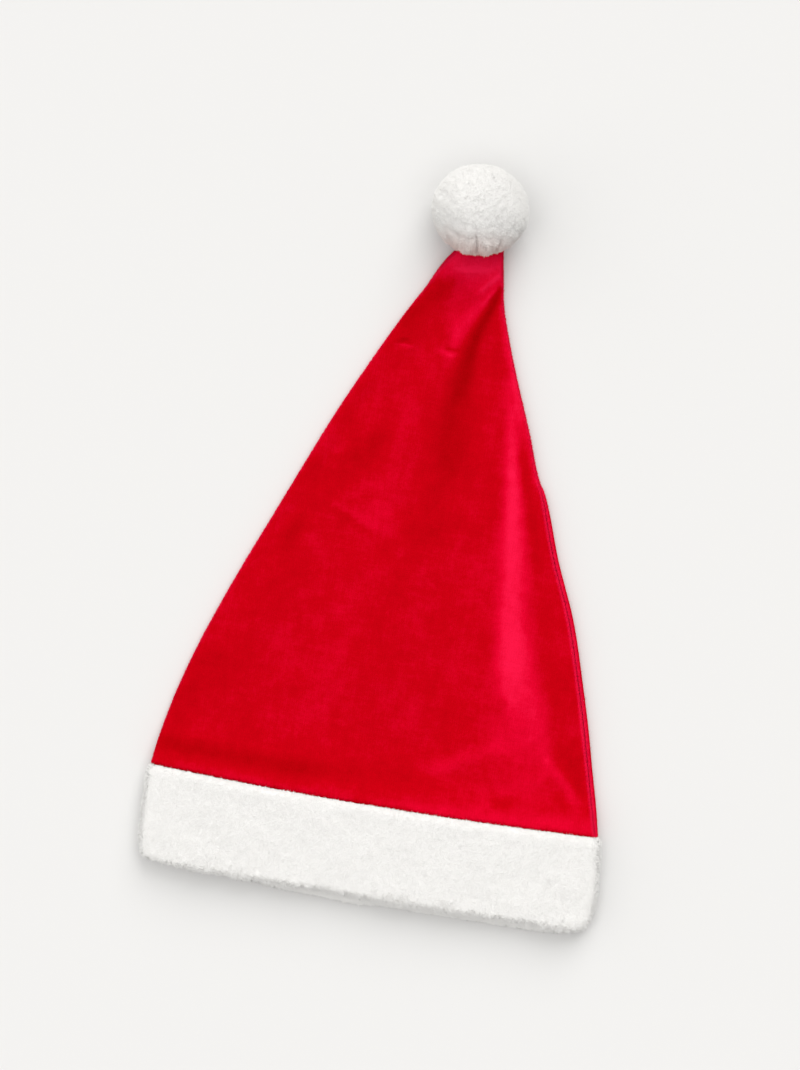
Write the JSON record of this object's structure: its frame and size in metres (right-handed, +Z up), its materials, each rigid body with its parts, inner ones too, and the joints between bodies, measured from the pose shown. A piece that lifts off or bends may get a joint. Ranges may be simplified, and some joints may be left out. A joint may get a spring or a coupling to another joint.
{
  "type": "baby's pointed winter hat with plush brim and ball, laid flat",
  "caption": "Long pointed red velour baby hat with a folded white plush brim and a stuffed plush ball at the tip, laid flat.",
  "frame": {"origin": "on the table under the middle of the hat's box", "axes": "+X across the hat along its brim, +Y from the brim towards the ball at the tip, +Z up from the table it lies on"},
  "size_m": [0.2202, 0.3556, 0.0385],
  "materials": {
    "red_velour": "knitted cotton velour, short dense nap with a soft sheen",
    "white_plush": "short dense plush pile, matt and soft"
  },
  "bodies": {
    "root": {"crown_front": "red_velour", "crown_back": "red_velour", "brim": "white_plush", "ball": "white_plush"}
  },
  "joints": []
}
